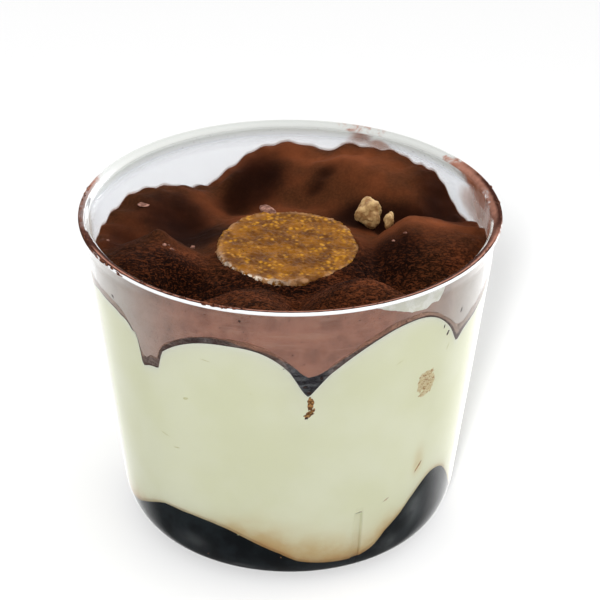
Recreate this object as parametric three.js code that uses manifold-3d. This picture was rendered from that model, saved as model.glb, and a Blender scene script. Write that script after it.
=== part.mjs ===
// Tiramisu in a clear plastic dessert cup.
//
// Frame: millimetres, +Z up, origin at the middle of the cup's underside.
// The front of the dessert faces -Y. Azimuths are in degrees round the cup from
// the front (-Y), growing towards +X, so a place is (r sin az, -r cos az, z).
//
// From the floor of the cup upwards: a layer of coffee-soaked sponge, the cream,
// which ends in a ring of dollops round a hollow, a skin of cocoa powder over the
// cream, a golden biscuit lying in the hollow, and two pieces of nut beside it.

import * as THREE from 'three';
import { mergeVertices } from 'three/addons/utils/BufferGeometryUtils.js';
import Module from 'manifold-3d';

const wasm = await Module();
wasm.setup();

// ---------------------------------------------------------------- cup sizes
const RIM_RADIUS = 45;
const CUP_HEIGHT = 72.2;
const WALL = 1.0;
const FLOOR = 1.3;
const BASE_RADIUS = 27.3; // flat part of the underside
const CORNER_HEIGHT = 10.1; // top of the rounded corner above the base
const CORNER_RADIUS = 36.8; // outer radius there
const CORNER_FLAT_HANDLE = 6.5; // pull of the corner curve along the base
const CORNER_WALL_HANDLE = 6.2; // and along the wall
const NECK_HEIGHT = 62.6; // the wall stands almost upright above this
const NECK_RADIUS = 43.15;
const LIP_UNDERSIDE = 71.15;
const LIP_ROOT_RADIUS = 43.72;
const LIP_BEAD = 0.52; // half the thickness of the rounded lip
const CUP_SEGMENTS = 64;
const FOOD_SEGMENTS = 76;

const RIB_AZIMUTHS = [23.3, 143.3, 263.3]; // stacking ribs inside the cup
const RIB_WIDTH = 1.6;
const RIB_DEPTH = 0.7;
const RIB_TOP = 17.6;

const GAP = 0.3; // between pieces that touch

// Rings of points from the middle of a surface to its edge.
const CREAM_RINGS = 12;
const COFFEE_RINGS = 5;

// ------------------------------------------------------------ dessert sizes
// One entry for each dollop of cream, round the cup. Its crest is at radius ring and
// height crest, turned by sway from where the dollop stands at the wall, at height
// wall. Inwards it falls to the hollow at radius foot. left and right say how far
// round the valley on that side lies, in degrees, how far the dollop drops to it at
// the wall and at the crest's radius, and how squarely its shoulder turns down.
const DOLLOPS = [
  {
    az: -64, sway: -12, ring: 29, crest: 65.6, foot: 15, wall: 61.4,
    left: [28, 3.0, 5.6, 2.6], right: [17, 10.5, 6.5, 4.0],
  },
  {
    az: -17, sway: 0, ring: 30, crest: 64.4, foot: 13, wall: 62.6,
    left: [27, 11.2, 5.6, 2.4], right: [22.4, 11.9, 5.6, 2.8],
  },
  {
    az: 36, sway: -3, ring: 28, crest: 66.2, foot: 13, wall: 64.9,
    left: [30.7, 14.1, 6.4, 2.0], right: [19.5, 10.8, 6.6, 2.2],
  },
  {
    az: 88, sway: 5, ring: 26, crest: 66.2, foot: 13, wall: 63.6,
    left: [32.5, 10.0, 6.8, 2.2], right: [25, 4.6, 7.0, 3.0],
  },
  {
    az: 148, sway: 0, ring: 33, crest: 67.8, foot: 17, wall: 66.8,
    left: [34, 6.8, 6.6, 2.6], right: [21, 2.8, 1.6, 2.2],
  },
  {
    az: 183, sway: 0, ring: 36, crest: 66.0, foot: 24, wall: 65.0,
    left: [14, 1.2, 1.0, 2.0], right: [25, 8.0, 5.6, 2.2],
  },
  {
    az: 235, sway: 0, ring: 35, crest: 63.2, foot: 23, wall: 61.8,
    left: [27, 4.9, 4.0, 2.2], right: [33, 4.0, 4.6, 2.6],
  },
];
const HOLLOW_FLOOR = 59.9; // cream surface under the biscuit
const HOLLOW_RADIUS = 21; // beyond this the floor falls away outwards
const HOLLOW_FALL = 0.75;
const TIP = { az: -89, radius: 28, height: 1.8, spread: 2.4 }; // pulled-up point
const CREAM_BLEND = 0.7; // how softly neighbouring dollops merge
const UNEVEN = 0.3; // slow waves over the cream

const COCOA = 1.1; // thickness of the powder
const COCOA_FILL = 4.4; // how softly powder fills the valleys at the wall
const COCOA_FILL_START = 35; // the filling grows from this radius outwards

// Coffee-soaked layer: swells of its surface round the cup.
const COFFEE_LEVEL = 4.9;
const COFFEE_MIDDLE = 9.0; // its height along the cup's axis
const COFFEE_SWELLS = [
  { az: -36, height: 9.9, spread: 25 },
  { az: 54, height: 16.0, spread: 16 },
  { az: 128, height: 6.5, spread: 22 },
  { az: 190, height: 9.0, spread: 24 },
  { az: 258, height: 5.5, spread: 20 },
];

const BISCUIT = {
  x: -0.4, y: -0.3, radius: 15.5, top: 63.6, thickness: 2.1, tilt: 1.5, uneven: 0.035,
};
const NUTS = [
  { name: 'nut_large', x: 17.1, y: 14.0, size: [3.1, 2.8, 3.2], detail: 2, turn: 20 },
  { name: 'nut_small', x: 21.4, y: 8.6, size: [1.1, 1.5, 1.9], detail: 1, turn: -25 },
];

// ------------------------------------------------------------------ helpers
const radians = THREE.MathUtils.degToRad;

function place(azimuth, radius, z) {
  const a = radians(azimuth);
  return new THREE.Vector3(radius * Math.sin(a), -radius * Math.cos(a), z);
}

function azimuthOf(x, y) {
  return THREE.MathUtils.radToDeg(Math.atan2(x, -y));
}

// Signed angle from b to a, between -180 and 180 degrees.
function turnBetween(a, b) {
  return THREE.MathUtils.euclideanModulo(a - b + 180, 360) - 180;
}

// Maximum of several values, rounded off where two of them are close.
function blendMax(values, softness) {
  const highest = Math.max(...values);
  const sum = values.reduce((total, v) => total + Math.exp((v - highest) / softness), 0);
  return highest + softness * Math.log(sum);
}

// Radius of an outline of (radius, z) points at a height.
function radiusAt(outline, z) {
  for (let i = 1; i < outline.length; i += 1) {
    const low = outline[i - 1];
    const high = outline[i];
    if (z <= high.y) {
      const t = THREE.MathUtils.clamp((z - low.y) / (high.y - low.y), 0, 1);
      return THREE.MathUtils.lerp(low.x, high.x, t);
    }
  }
  return outline[outline.length - 1].x;
}

// Closed body through a stack of rings with the same number of points, from one
// pole to the other. Rings run the way that azimuth grows. Each cell is split along
// its shorter diagonal, so two surfaces a fixed height apart are split alike.
function bodyThroughRings(firstPole, rings, lastPole) {
  const count = rings[0].length;
  const points = [firstPole, ...rings.flat(), lastPole];
  const last = points.length - 1;
  const faces = [];
  for (let k = 0; k < count; k += 1) {
    const next = (k + 1) % count;
    faces.push(0, 1 + k, 1 + next);
    for (let ring = 0; ring + 1 < rings.length; ring += 1) {
      const [a, aNext] = [1 + ring * count + k, 1 + ring * count + next];
      const [b, bNext] = [a + count, aNext + count];
      const along = points[a].distanceTo(points[bNext]);
      const across = points[aNext].distanceTo(points[b]);
      if (along < across) {
        faces.push(a, b, bNext, a, bNext, aNext);
      } else {
        faces.push(a, b, aNext, b, bNext, aNext);
      }
    }
    const end = 1 + (rings.length - 1) * count;
    faces.push(end + k, last, end + next);
  }
  const geometry = new THREE.BufferGeometry().setFromPoints(points);
  geometry.setIndex(faces);
  return geometry;
}

// Geometry to manifold solid and back, for joining and cutting.
function toSolid(geometry) {
  const bare = geometry.clone();
  bare.deleteAttribute('normal');
  bare.deleteAttribute('uv');
  const merged = mergeVertices(bare, 1e-4);
  const index = merged.index.array;
  const kept = [];
  for (let i = 0; i < index.length; i += 3) {
    const [a, b, c] = [index[i], index[i + 1], index[i + 2]];
    if (a !== b && b !== c && a !== c) kept.push(a, b, c);
  }
  return new wasm.Manifold(new wasm.Mesh({
    numProp: 3,
    vertProperties: new Float32Array(merged.attributes.position.array),
    triVerts: new Uint32Array(kept),
  }));
}

function toGeometry(solid) {
  const mesh = solid.getMesh();
  const geometry = new THREE.BufferGeometry();
  const positions = new THREE.BufferAttribute(mesh.vertProperties, mesh.numProp);
  geometry.setAttribute('position', positions);
  geometry.setIndex(new THREE.BufferAttribute(mesh.triVerts, 1));
  return geometry;
}

// ---------------------------------------------------------------------- cup
// Outside of the cup from the edge of the base to the underside of the lip, or
// the same curve moved in by the wall and floor thickness for its inside.
function wallOutline(wall, floor) {
  const lean = (NECK_RADIUS - CORNER_RADIUS) / (NECK_HEIGHT - CORNER_HEIGHT);
  const corner = new THREE.CubicBezierCurve(
    new THREE.Vector2(BASE_RADIUS - wall / 2, floor),
    new THREE.Vector2(BASE_RADIUS + CORNER_FLAT_HANDLE - wall / 2, floor),
    new THREE.Vector2(
      CORNER_RADIUS - wall - lean * CORNER_WALL_HANDLE,
      CORNER_HEIGHT - CORNER_WALL_HANDLE + floor / 4,
    ),
    new THREE.Vector2(CORNER_RADIUS - wall, CORNER_HEIGHT),
  );
  return [
    ...corner.getPoints(7),
    new THREE.Vector2(NECK_RADIUS - wall, NECK_HEIGHT),
    new THREE.Vector2(LIP_ROOT_RADIUS - wall, LIP_UNDERSIDE),
  ];
}

const OUTSIDE = wallOutline(0, 0);
const INSIDE = wallOutline(WALL, FLOOR);

function lipOutline() {
  const bead = new THREE.EllipseCurve(
    RIM_RADIUS - LIP_BEAD, CUP_HEIGHT - LIP_BEAD,
    LIP_BEAD, LIP_BEAD, -Math.PI / 2, Math.PI * 0.75,
  );
  const top = bead.getPoint(1);
  const flare = new THREE.QuadraticBezierCurve(
    top,
    new THREE.Vector2(LIP_ROOT_RADIUS - WALL, LIP_UNDERSIDE + 0.4),
    new THREE.Vector2(LIP_ROOT_RADIUS - WALL, LIP_UNDERSIDE),
  );
  return [...bead.getPoints(6), ...flare.getPoints(3).slice(1, -1)];
}

// A stacking rib as a thin upright slab that follows the inside of the cup.
function ribSolid(azimuth, clearance) {
  const top = RIB_TOP + clearance;
  const heights = [FLOOR, 2.6, 4.5, 7, CORNER_HEIGHT, top];
  const face = heights.map((z) => [radiusAt(INSIDE, z) - RIB_DEPTH - clearance, z]);
  const root = heights.map((z) => [radiusAt(INSIDE, z) + WALL * 0.4, z]).reverse();
  const foot = [BASE_RADIUS - RIB_DEPTH - clearance - WALL / 2, FLOOR / 2];
  const outline = new THREE.Shape(
    [foot, ...face, ...root, [BASE_RADIUS, FLOOR / 2]].map(([r, z]) => new THREE.Vector2(r, z)),
  );
  const width = RIB_WIDTH + 2 * clearance;
  const slab = new THREE.ExtrudeGeometry(outline, { depth: width, bevelEnabled: false });
  slab.translate(0, 0, -width / 2);
  slab.rotateX(Math.PI / 2);
  slab.rotateZ(radians(azimuth - 90));
  return toSolid(slab);
}

function cupGeometry() {
  const outline = [
    new THREE.Vector2(0, 0),
    ...OUTSIDE,
    ...lipOutline(),
    ...INSIDE.slice().reverse(),
    new THREE.Vector2(0, FLOOR),
  ];
  const shell = new THREE.LatheGeometry(outline, CUP_SEGMENTS);
  shell.rotateX(Math.PI / 2);
  let solid = toSolid(shell);
  for (const azimuth of RIB_AZIMUTHS) {
    solid = solid.add(ribSolid(azimuth, 0));
  }
  return toGeometry(solid);
}

// ---------------------------------------------------------- dessert surfaces
// Height of one dollop at a place on the plan.
function dollopHeight(dollop, radius, azimuth) {
  const { ring, crest, foot, wall } = dollop;
  const wallRadius = radiusAt(INSIDE, wall);
  const outward = THREE.MathUtils.clamp((radius - ring) / (wallRadius - ring), 0, 1);
  const turn = turnBetween(azimuth, dollop.az + dollop.sway * (1 - outward));
  const [span, wallDrop, crestDrop, shoulder] = turn < 0 ? dollop.left : dollop.right;
  const drop = THREE.MathUtils.lerp(crestDrop, wallDrop, outward);
  const valley = drop * (Math.abs(turn) / span) ** shoulder;
  const inner = (crest - HOLLOW_FLOOR) * (1 - THREE.MathUtils.smoothstep(radius, foot, ring));
  return crest - (crest - wall) * outward ** 2 - inner - valley;
}

function surfaceHeight(radius, azimuth, softness) {
  const heights = DOLLOPS.map((dollop) => dollopHeight(dollop, radius, azimuth));
  const floor = HOLLOW_FLOOR - HOLLOW_FALL * Math.max(0, radius - HOLLOW_RADIUS);
  const surface = blendMax([blendMax(heights, softness), floor], CREAM_BLEND);
  const fromTip = place(azimuth, radius, 0).distanceTo(place(TIP.az, TIP.radius, 0));
  const tip = TIP.height * Math.exp(-((fromTip / TIP.spread) ** 2));
  const a = radians(azimuth);
  const waves = Math.sin(5 * a + radius / 5) + Math.sin(9 * a - radius / 3.2);
  const settled = THREE.MathUtils.smoothstep(radius, HOLLOW_RADIUS - 4, HOLLOW_RADIUS + 6);
  const calm = 1 - THREE.MathUtils.smoothstep(radius, RIM_RADIUS - 9, RIM_RADIUS - 3);
  return surface + tip + UNEVEN * waves * settled * calm;
}

function creamTop(radius, azimuth) {
  return surfaceHeight(radius, azimuth, CREAM_BLEND);
}

function cocoaTop(radius, azimuth) {
  const wall = THREE.MathUtils.smoothstep(radius, COCOA_FILL_START, RIM_RADIUS - 4);
  const softness = THREE.MathUtils.lerp(CREAM_BLEND, COCOA_FILL, wall);
  return surfaceHeight(radius, azimuth, softness) + COCOA;
}

function coffeeTop(radius, azimuth) {
  const swell = COFFEE_SWELLS.reduce((total, { az, height, spread }) => {
    const along = turnBetween(azimuth, az) / spread;
    return total + height * Math.exp(-(along ** 2) * 0.5 * (1 + along ** 2 / 4));
  }, COFFEE_LEVEL);
  const outward = (radius / CORNER_RADIUS) ** 2;
  return THREE.MathUtils.lerp(COFFEE_MIDDLE, swell, outward);
}

function contentsRadius(z) {
  return radiusAt(INSIDE, z) - GAP;
}

// Height where a surface meets the side of the contents.
function edgeHeight(surface, azimuth) {
  let z = surface(RIM_RADIUS - 3, azimuth);
  for (let pass = 0; pass < 12; pass += 1) {
    z = (z + surface(contentsRadius(z), azimuth)) / 2;
  }
  return z;
}

// Rings of points from the middle (not included) to the side, over a surface that
// is lifted off the one it follows.
function surfaceRings({ surface, lift, ringCount }, azimuths) {
  const edges = azimuths.map((azimuth) => edgeHeight(surface, azimuth));
  const rings = [];
  for (let i = 1; i <= ringCount; i += 1) {
    rings.push(azimuths.map((azimuth, k) => {
      const radius = (i / ringCount) * contentsRadius(edges[k]);
      const z = i === ringCount ? edges[k] : surface(radius, azimuth);
      return place(azimuth, radius, z + lift);
    }));
  }
  return rings;
}

// Body of food that fills the cup between two surfaces.
function fillGeometry(top, bottom, sideRows) {
  const step = 360 / FOOD_SEGMENTS;
  const azimuths = Array.from({ length: FOOD_SEGMENTS }, (_, k) => k * step);
  const upper = surfaceRings(top, azimuths);
  const lower = surfaceRings(bottom, azimuths);
  const topEdge = upper[upper.length - 1];
  const bottomEdge = lower[lower.length - 1];
  const side = [];
  for (let row = 1; row < sideRows; row += 1) {
    side.push(azimuths.map((azimuth, k) => {
      const z = THREE.MathUtils.lerp(topEdge[k].z, bottomEdge[k].z, row / sideRows);
      return place(azimuth, contentsRadius(z), z);
    }));
  }
  const rings = [...upper, ...side, ...lower.reverse()];
  const [highest, lowest] = [top, bottom].map(({ surface, lift }) => (
    place(0, 0, surface(0, 0) + lift)
  ));
  return bodyThroughRings(highest, rings, lowest);
}

function cutRibSlots(geometry) {
  let solid = toSolid(geometry);
  for (const azimuth of RIB_AZIMUTHS) {
    solid = solid.subtract(ribSolid(azimuth, GAP));
  }
  return toGeometry(solid);
}

function coffeeGeometry() {
  const top = { surface: coffeeTop, lift: 0, ringCount: COFFEE_RINGS };
  const bottom = { surface: () => FLOOR, lift: GAP, ringCount: 2 };
  return cutRibSlots(fillGeometry(top, bottom, 3));
}

function creamGeometry() {
  const top = { surface: creamTop, lift: 0, ringCount: CREAM_RINGS };
  const bottom = { surface: coffeeTop, lift: GAP, ringCount: COFFEE_RINGS };
  return cutRibSlots(fillGeometry(top, bottom, 7));
}

function cocoaGeometry() {
  const top = { surface: cocoaTop, lift: 0, ringCount: CREAM_RINGS };
  const bottom = { surface: creamTop, lift: GAP, ringCount: CREAM_RINGS };
  return fillGeometry(top, bottom, 2);
}

// ------------------------------------------------------------------ toppings
function heightOfCocoa(x, y) {
  return cocoaTop(Math.hypot(x, y), azimuthOf(x, y));
}

// A broken-edged round biscuit that lies on the cocoa in the hollow.
function biscuitGeometry() {
  const segments = 44;
  const { x, y, radius, top, thickness, tilt, uneven } = BISCUIT;
  const edge = (a) => {
    const waves = Math.sin(2 * a + 0.6) + 0.8 * Math.sin(5 * a + 2) + 0.6 * Math.sin(9 * a);
    return radius * (1 + (uneven * waves) / 2);
  };
  const slope = Math.tan(radians(tilt));
  const ring = (share, drop) => Array.from({ length: segments }, (_, k) => {
    const a = (k / segments) * 2 * Math.PI;
    const px = x + share * edge(a) * Math.sin(a);
    const py = y - share * edge(a) * Math.cos(a);
    const bumps = 0.16 * Math.sin(px * 1.1 + 1) * Math.cos(py * 0.9) * (1 - share ** 6);
    const z = top + (py - y) * slope + bumps - drop;
    return new THREE.Vector3(px, py, Math.max(z, heightOfCocoa(px, py) + GAP));
  });
  const rings = [
    ring(0.3, -0.1), ring(0.58, -0.1), ring(0.82, 0), ring(0.96, 0.12), ring(1, 0.6),
    ring(0.99, thickness * 0.65), ring(0.95, thickness), ring(0.5, thickness),
  ];
  const low = top - thickness;
  return bodyThroughRings(
    new THREE.Vector3(x, y, top + 0.1), rings, new THREE.Vector3(x, y, low),
  );
}

// An uneven chip of nut whose underside follows the cocoa that it lies on.
function nutGeometry({ x, y, size, detail, turn }) {
  const ball = new THREE.IcosahedronGeometry(1, detail);
  ball.deleteAttribute('normal');
  ball.deleteAttribute('uv');
  const geometry = mergeVertices(ball, 1e-4);
  const points = geometry.attributes.position;
  const rest = heightOfCocoa(x, y) + GAP;
  for (let i = 0; i < points.count; i += 1) {
    const p = new THREE.Vector3().fromBufferAttribute(points, i);
    const lump = 1 + 0.12 * Math.sin(4 * p.x + 1) + 0.1 * Math.cos(5 * p.y + 3 * p.z);
    p.multiplyScalar(lump);
    p.set(p.x * size[0], p.y * size[1], p.z * size[2]);
    p.applyAxisAngle(new THREE.Vector3(0, 0, 1), radians(turn));
    p.add(new THREE.Vector3(x, y, rest + size[2] * 0.72));
    p.z = Math.max(p.z, heightOfCocoa(p.x, p.y) + GAP);
    points.setXYZ(i, p.x, p.y, p.z);
  }
  return geometry;
}

// --------------------------------------------------------------------- group
function named(name, geometry, material) {
  const mesh = new THREE.Mesh(geometry, new THREE.MeshStandardMaterial(material));
  mesh.name = name;
  return mesh;
}

const group = new THREE.Group();
group.add(named('cup', cupGeometry(), {
  color: 0xe9edee, roughness: 0.08, metalness: 0, transparent: true, opacity: 0.25,
}));
group.add(named('coffee_layer', coffeeGeometry(), {
  color: 0x23262a, roughness: 0.35, metalness: 0,
}));
group.add(named('cream', creamGeometry(), { color: 0xe0e1c4, roughness: 0.45, metalness: 0 }));
group.add(named('cocoa', cocoaGeometry(), { color: 0x4a2613, roughness: 0.95, metalness: 0 }));
group.add(named('biscuit', biscuitGeometry(), {
  color: 0xa66f28, roughness: 0.6, metalness: 0,
}));
for (const nut of NUTS) {
  group.add(named(nut.name, nutGeometry(nut), { color: 0x98744c, roughness: 0.6, metalness: 0 }));
}

export default group;
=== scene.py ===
"""Looks of the tiramisu in its clear cup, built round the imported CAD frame.

Sizes are in millimetres in the code and become metres when a mesh is made. Azimuths are in
degrees round the cup from the front (-Y), growing towards +X.
"""

import math

import bmesh
import bpy
import numpy as np
from mathutils import Matrix, Vector, noise


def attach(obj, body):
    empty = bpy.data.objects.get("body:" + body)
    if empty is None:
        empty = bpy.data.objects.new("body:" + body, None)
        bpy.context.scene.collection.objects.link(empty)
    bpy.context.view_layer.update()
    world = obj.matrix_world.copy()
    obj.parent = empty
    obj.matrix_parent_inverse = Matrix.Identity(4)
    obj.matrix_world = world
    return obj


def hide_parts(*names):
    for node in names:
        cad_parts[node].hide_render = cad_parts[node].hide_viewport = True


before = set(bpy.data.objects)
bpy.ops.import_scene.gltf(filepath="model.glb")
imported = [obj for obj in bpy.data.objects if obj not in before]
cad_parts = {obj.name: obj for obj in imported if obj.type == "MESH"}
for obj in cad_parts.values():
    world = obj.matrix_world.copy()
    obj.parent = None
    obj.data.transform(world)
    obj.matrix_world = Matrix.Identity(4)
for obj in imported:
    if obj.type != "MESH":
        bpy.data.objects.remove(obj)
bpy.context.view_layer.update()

MM = 0.001

# ---- cup sizes
RIM_RADIUS = 45.0
CUP_HEIGHT = 72.2
WALL = 1.0
FLOOR = 1.3
BASE_RADIUS = 27.3
CORNER_HEIGHT = 10.1
CORNER_RADIUS = 36.8
CORNER_FLAT_HANDLE = 6.5
CORNER_WALL_HANDLE = 6.2
NECK_HEIGHT = 62.6
NECK_RADIUS = 43.15
LIP_UNDERSIDE = 71.15
LIP_ROOT_RADIUS = 43.72
LIP_BEAD = 0.52
LIP_FLARE_HANDLE = 0.4

RIB_AZIMUTHS = (23.3, 143.3, 263.3)
RIB_WIDTH = 1.6
RIB_DEPTH = 0.7
RIB_TOP = 17.6

REACH = 0.12  # how far the food reaches into the wall, so that no air shows between

# ---- dessert sizes
# azimuth, sway, ring, crest, foot, wall height, then for the valley on the left and on the
# right: span, drop at the wall, drop at the crest's radius, shoulder. As in the CAD source.
DOLLOPS = (
    (-64, -12, 29, 65.6, 15, 61.4, (28, 3.0, 5.6, 2.6), (17, 10.5, 6.5, 4.0)),
    (-17, 0, 30, 64.4, 13, 62.6, (27, 11.2, 5.6, 2.4), (22.4, 11.9, 5.6, 2.8)),
    (36, -3, 28, 66.2, 13, 64.9, (30.7, 14.1, 6.4, 2.0), (19.5, 10.8, 6.6, 2.2)),
    (88, 5, 26, 66.2, 13, 63.6, (32.5, 10.0, 6.8, 2.2), (25, 4.6, 7.0, 3.0)),
    (148, 0, 33, 67.8, 17, 66.8, (34, 6.8, 6.6, 2.6), (21, 2.8, 1.6, 2.2)),
    (183, 0, 36, 66.0, 24, 65.0, (14, 1.2, 1.0, 2.0), (25, 8.0, 5.6, 2.2)),
    (235, 0, 35, 63.2, 23, 61.8, (27, 4.9, 4.0, 2.2), (33, 4.0, 4.6, 2.6)),
)
HOLLOW_FLOOR = 59.9
HOLLOW_RADIUS = 21.0
HOLLOW_FALL = 0.75
TIP_AZIMUTH, TIP_RADIUS, TIP_HEIGHT, TIP_SPREAD = -89, 28, 1.8, 2.4
CREAM_BLEND = 0.7
UNEVEN = 0.3
COCOA = 1.1
COCOA_FILL = 4.4
COCOA_FILL_START = 35.0

COFFEE_LEVEL = 4.9
COFFEE_MIDDLE = 9.0
COFFEE_SWELLS = ((-36, 9.9, 25), (54, 16.0, 16), (128, 6.5, 22), (190, 9.0, 24), (258, 5.5, 20))

# Small local changes at the wall, as (azimuth, height in mm), read between neighbours.
CREAM_LINE = (
    (-85, 0), (-77, -1.6), (-69, -0.4), (-55, -0.7), (-50, 1.4), (-48.6, 3.8), (-47.9, 3.4), (-47.3, 1),
    (-44, -1.2), (-40.6, -3.9), (-39.6, -2), (-38.4, -0.4), (-30, -0.55), (-12, -0.55), (0, -0.7),
    (3.2, -2), (5.3, -2.1), (7.4, -1.6), (11, -0.7), (20, -0.6), (30, -0.3), (45, 0), (52, 0),
    (55.3, -0.6), (59, -0.6), (65.6, -2.4), (71, -3), (80, -1.8), (92, 0),
)
COCOA_LINE = (
    (-110, 0), (-122, 0.7), (-130, 0.5), (-143, -0.8), (-152, -2.5), (-156, -2.5), (-162, -1.3),
    (-170, 0), (-177, 0.6), (180, 0.2), (171, -2), (166, -1.6), (160, 0), (155, -0.8), (149, 0.3),
    (138, -0.3), (130, 0.2), (125, -0.7), (119, -2.4), (114, -2.6), (106, -1), (96, 0),
)
COFFEE_LINE = (
    (-80, 0), (-63, -0.7), (-55, -0.3), (-46, 0.5), (-38, 0), (-31, 0.2), (-20, 0.8), (-3, 0.8),
    (3, -0.2), (24, -0.5), (30, -0.4), (34, 0.3), (40, -1.2), (46, -1), (53, -0.2), (61, -0.1),
    (70, -0.7), (90, 0),
)
EDGE_WAVES = 0.45  # unevenness of the powder's edge along the wall
HIDDEN_DROP = 1.7  # the powder's edge follows the cream down only beyond this drop
RISE_SHARE = 0.3  # and follows this share of its rise

# Hollows in the powder: x, y, length, width, turn of the long axis, depth
DENTS = (
    (-24, 14.6, 8, 6, 118, 1.9), (-7.6, 31.2, 5, 4.6, 70, 2), (5, 25.2, 1.8, 1.2, 10, 0.5),
    (7.8, 28, 2, 1.3, 0, 0.6), (22, 4, 4.5, 3, 100, 0.9), (15.8, -9.5, 4, 2.6, 30, 0.7),
    (-28.6, 1.6, 2.2, 2, 0, 0.7),
)
# Dark places on the powder, partly moist powder and partly painted shade in hollows and on flanks turned
# from the light: x, y, length, width, turn, strength
MOIST = (
    (-24.6, 14.2, 8.2, 6.6, 110, 1.35), (-21, 8, 4.5, 3.5, 110, 0.8), (-7.4, 31.4, 5.6, 5.2, 60, 1.3),
    (-13, 27.6, 4, 2.6, 40, 0.6), (5.6, 25.6, 2.4, 1.7, 10, 0.5), (7.8, 28.6, 2.4, 1.8, 0, 0.5),
    (14.5, 15.3, 5.4, 3.4, -10, 1.2), (25, 13.5, 6.5, 3.2, 0, 1), (21.8, -5.6, 6, 5.2, -42, 1.2),
    (15.8, -10, 4.6, 3.8, 30, 0.9), (11.5, -21.5, 3.8, 2.2, 60, 0.8), (2, -16.6, 6, 2.2, 0, 1.2),
    (-23.5, -12.5, 9.5, 4.6, -22, 1), (-30, -19, 8, 3.6, -40, 0.7), (33.8, 19, 9, 4.6, -72, 0.95),
    (-36, 3, 4.5, 8, 0, 0.6), (-11, -15, 5, 3, 20, 0.6), (-14, 8, 3, 4, 0, 0.5),
)
# Places painted lighter, painted light on crests and slopes that face the light, in the same way
LIT = (
    (12, 33, 14, 3.6, -25, 0.8), (30.5, 4.6, 8, 2.6, -5, 1), (20.5, -22.5, 7.5, 3, 28, 1),
    (-29, -7.4, 10, 1.3, 22, 0.7), (-19, 24, 6, 2.4, 40, 0.35), (16, 24, 8, 4, -20, 0.3),
    (-6, -25, 7, 2.4, -10, 0.45),
)
# Soaked edge of the cream above the coffee: azimuth, height of the stain in mm, strength
STAIN = (
    (-80, 3, 0.7), (-64, 2.6, 0.75), (-56, 1.2, 0.45), (-45, 0.9, 0.4), (-30, 1.2, 0.45),
    (-20, 2.2, 0.75), (-10, 4, 1), (8, 4.6, 1.15), (24, 4, 1), (34, 3, 0.85), (42, 1.6, 0.5),
    (60, 1.2, 0.45), (80, 2, 0.5), (180, 2, 0.6),
)
# Places on the wall: azimuth, z, reach in degrees, reach in mm, then one or two strengths
# First table: grey patches on the dark coffee, painted reflection.
COFFEE_HAZE = (
    (-66, 7.5, 9, 3.4, 1.1), (-34, 7.6, 6, 2, 0.5), (-17, 3.6, 4.5, 0.5, 0.6), (47, 13.5, 4, 4.5, 1),
    (66, 17, 7, 4.5, 0.38), (37, 6.5, 4, 2.2, 0.7), (58, 21, 6, 3, 0.65),
)
WALL_DUST = (
    (113, 71.4, 10, 2.2, 1, 1), (104, 69.6, 10, 3.6, 1, 0.95), (104, 66.4, 15, 4.4, 0.75, 0.7),
    (91, 66, 6, 8, 0.9, 0.95), (84, 66, 7, 8, 0.5, 0.6), (158, 71, 8, 2.6, 0.75, 0.85),
    (152, 69.8, 6, 2.9, 0.65, 0.75), (172, 70.6, 9, 1.2, 0.6, 0.7),
)
HALO = (45.4, 26.5, 2.6, 4.2)  # pale brown halo in the cream: azimuth, z, reach in degrees and mm
# Dust on the lip's outside, top and flare: azimuth, three strengths, then three tones from
# pink (0) to dark brown (1)
LIP_DUST = (
    (-150, 0.05, 0.05, 0.05, 0.2, 0.2, 0.2), (-116, 0.05, 0.1, 0.1, 0.2, 0.2, 0.2),
    (-109, 0.6, 0.5, 0.35, 0.1, 0.2, 0.1), (-103, 0.9, 0.6, 0.2, 0.35, 0.3, 0.2),
    (-97, 1, 0.45, 0.1, 0.6, 0.4, 0.3), (-80, 1, 0.5, 0.1, 0.8, 0.6, 0.5),
    (-74, 1, 0.8, 0.7, 0.9, 0.9, 0.9), (-69, 0.8, 0.95, 1, 0.9, 0.9, 1), (-63, 0.5, 0.7, 1, 0.5, 0.3, 1),
    (-56, 0.45, 0.75, 1, 0.4, 0.3, 1), (-49, 0.15, 0.75, 1, 0.4, 0.1, 1), (-36, 0.1, 0.7, 1, 0.4, 0.1, 1),
    (-32, 0.3, 0.8, 1, 0.8, 0.2, 1), (-20, 0.3, 0.85, 1, 0.8, 0.2, 1), (-12, 0.15, 0.8, 1, 0.5, 0.1, 1),
    (20, 0.1, 0.72, 1, 0.5, 0.05, 1), (50, 0.1, 0.65, 1, 0.3, 0.1, 1), (64, 0.3, 0.6, 1, 0.1, 0.1, 0.9),
    (74, 0.42, 0.7, 1, 0.1, 0.3, 0.8), (83, 0.55, 0.9, 0.9, 0.4, 0.9, 0.7), (90, 0.9, 1, 0.7, 1, 1, 0.4),
    (102, 1, 1, 0.55, 1, 1, 0.4), (108, 0.95, 0.95, 0.7, 0.9, 0.9, 0.4),
    (114, 0.9, 0.9, 0.8, 0.8, 0.6, 0.3), (120, 0.5, 0.7, 0.66, 0.4, 0.4, 0.15),
    (127, 0.15, 0.3, 0.5, 0.2, 0.2, 0.05), (136, 0.05, 0.05, 0.1, 0.2, 0.1, 0),
    (150, 0.34, 0.34, 0.32, 0.1, 0.1, 0.05), (160, 0.47, 0.5, 0.46, 0.2, 0.15, 0.1),
    (171, 0.3, 0.35, 0.3, 0, 0, 0), (178, 0.05, 0.05, 0.05, 0, 0, 0),
)
# Crumbs on the lip: azimuth, spread, count, lowest and highest angle round the bead, size
LIP_CRUMBS = (
    (-57, 3.2, 20, 0, 60, 1.5), (-47, 4, 4, 80, 130, 0.8), (-32, 3.5, 12, 60, 120, 1.1),
    (-22, 3.5, 22, 40, 110, 1.25), (-10, 6, 8, 60, 120, 0.8), (12, 9, 4, 80, 120, 0.7),
    (60, 10, 4, 60, 120, 0.8), (96, 7, 12, 20, 150, 1.2), (-96, 5, 10, 20, 120, 1.2),
    (-70, 4, 10, 30, 100, 1.1),
)
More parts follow.
